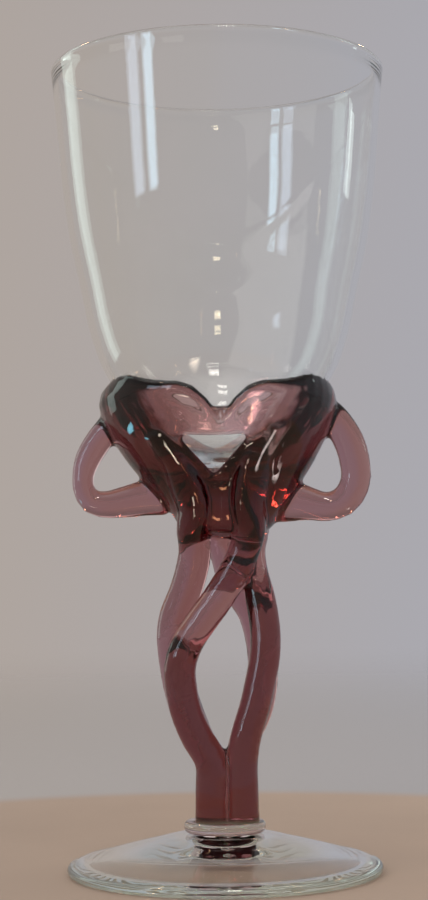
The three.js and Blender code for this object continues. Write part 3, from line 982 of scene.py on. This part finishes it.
class GOBLET_OT_stage(bpy.types.Operator):
    """Ground, room light, lamps and camera"""

    bl_idname = "goblet.stage"
    bl_label = "Stage"

    def execute(self, context):
        scene = context.scene
        looks = scene.goblet_stage
        self.ground(looks)
        self.room(looks)
        for lamp in LAMPS:
            lamp.hang()
        self.camera()
        scene.view_settings.view_transform = "Standard"
        scene.cycles.max_bounces = 32
        scene.cycles.glossy_bounces = 24  # also counts the turns of light that is held inside glass
        scene.cycles.transmission_bounces = 24
        scene.cycles.transparent_max_bounces = 32
        return {"FINISHED"}

    def ground(self, looks):
        """A wide disc under the goblet, in rings that get wider outwards."""
        start_clean()
        bpy.ops.mesh.primitive_circle_add(
            vertices=96, radius=GROUND_MIDDLE, fill_type="NGON", location=(0, 0, -looks.below)
        )
        ground = bpy.context.object
        ground.name = "ground"
        bpy.ops.object.transform_apply()
        edit_all(ground)
        for _ in range(GROUND_RINGS):
            bpy.ops.mesh.select_all(action="SELECT")
            bpy.ops.mesh.region_to_loop()
            bpy.ops.mesh.extrude_edges_move()
            bpy.ops.transform.resize(value=(GROUND_STEP, GROUND_STEP, 1), center_override=(0, 0, 0))
        bpy.ops.mesh.select_all(action="SELECT")
        bpy.ops.mesh.normals_make_consistent(inside=False)
        bpy.ops.object.mode_set(mode="OBJECT")
        ground.data.materials.append(floor_material(looks))

    def room(self, looks):
        """Wall and ceiling for rays that look, and even daylight for rays that only light."""
        world = bpy.data.worlds.new("room")
        bpy.context.scene.world = world
        world.use_nodes = True
        graph = Graph(world.node_tree)
        ray = graph.add("ShaderNodeTexCoord", output="Generated")
        up = graph.add("ShaderNodeSeparateXYZ", None, {0: ray}, output="Z")
        wall = backdrop_colour(graph, ray, looks, WALL_TURN)
        walls = graph.blend(graph.ramp(up, *WALL_RISE), wall, opaque(UPPER_WALL))
        room = graph.blend(graph.ramp(up, *CEILING_RISE), walls, opaque(CEILING))
        looking = self.looking(graph)
        seen = graph.add("ShaderNodeBackground", None, {"Color": room, "Strength": 1.0})
        light = graph.add(
            "ShaderNodeBackground", None, {"Color": opaque(DAYLIGHT), "Strength": looks.daylight}
        )
        mixed = graph.add("ShaderNodeMixShader", None, {0: looking, 1: light, 2: seen})
        graph.add("ShaderNodeOutputWorld", None, {"Surface": mixed})

    def looking(self, graph):
        """One for a ray that looks, straight or through glass, and nought for one that only lights."""
        camera, glossy, through, lit = (
            graph.add("ShaderNodeLightPath", output=name)
            for name in ("Is Camera Ray", "Is Glossy Ray", "Is Transmission Ray", "Diffuse Depth")
        )
        looks = (camera + glossy).clamped("ADD", through)
        return looks.clamped("SUBTRACT", lit)

    def camera(self):
        """Stands where the goblet is seen from in its picture."""
        level = math.cos(CAMERA_PITCH)
        right = Vector((math.cos(CAMERA_YAW), math.sin(CAMERA_YAW), 0))
        forward = Vector(
            (-math.sin(CAMERA_YAW) * level, math.cos(CAMERA_YAW) * level, math.sin(CAMERA_PITCH))
        )
        up = right.cross(forward)
        across = right * math.cos(CAMERA_ROLL) + up * math.sin(CAMERA_ROLL)
        upright = up * math.cos(CAMERA_ROLL) - right * math.sin(CAMERA_ROLL)
        data = bpy.data.cameras.new("camera")
        data.lens = CAMERA_LENS
        data.sensor_width = CAMERA_SENSOR
        data.clip_start, data.clip_end = CAMERA_SEES
        camera = bpy.data.objects.new("camera", data)
        bpy.context.scene.collection.objects.link(camera)
        turn = Matrix((across, upright, -forward)).transposed().to_4x4()
        camera.matrix_world = Matrix.Translation((0, -CAMERA_BACK, CAMERA_HEIGHT)) @ turn
        bpy.context.scene.camera = camera


class GOBLET_PT_panel(bpy.types.Panel):
    """Sizes, colours and steps of the goblet"""

    bl_idname = "GOBLET_PT_panel"
    bl_label = "Goblet"
    bl_space_type = "VIEW_3D"
    bl_region_type = "UI"
    bl_category = "Goblet"

    def draw(self, context):
        for step in STEPS:
            self.layout.operator(step.bl_idname)
        for name, group in GROUPS.items():
            box = self.layout.box()
            for field in group.__annotations__:
                box.prop(getattr(context.scene, name), field)


STEPS = (GOBLET_OT_bowl, GOBLET_OT_foot, GOBLET_OT_amethyst, GOBLET_OT_stage)
GROUPS = {
    "goblet_bowl": BowlSizes,
    "goblet_foot": FootSizes,
    "goblet_amethyst": AmethystSizes,
    "goblet_glass": GlassLooks,
    "goblet_stage": StageLooks,
}


def register():
    for group in GROUPS.values():
        bpy.utils.register_class(group)
    for name, group in GROUPS.items():
        setattr(bpy.types.Scene, name, PointerProperty(type=group))
    for step in STEPS:
        bpy.utils.register_class(step)
    bpy.utils.register_class(GOBLET_PT_panel)


def unregister():
    bpy.utils.unregister_class(GOBLET_PT_panel)
    for step in reversed(STEPS):
        bpy.utils.unregister_class(step)
    for name in GROUPS:
        delattr(bpy.types.Scene, name)
    for group in reversed(list(GROUPS.values())):
        bpy.utils.unregister_class(group)


def main():
    register()
    bpy.ops.goblet.bowl()
    bpy.ops.goblet.foot()
    bpy.ops.goblet.amethyst()
    bpy.ops.goblet.stage()


if __name__ == "__main__":
    main()
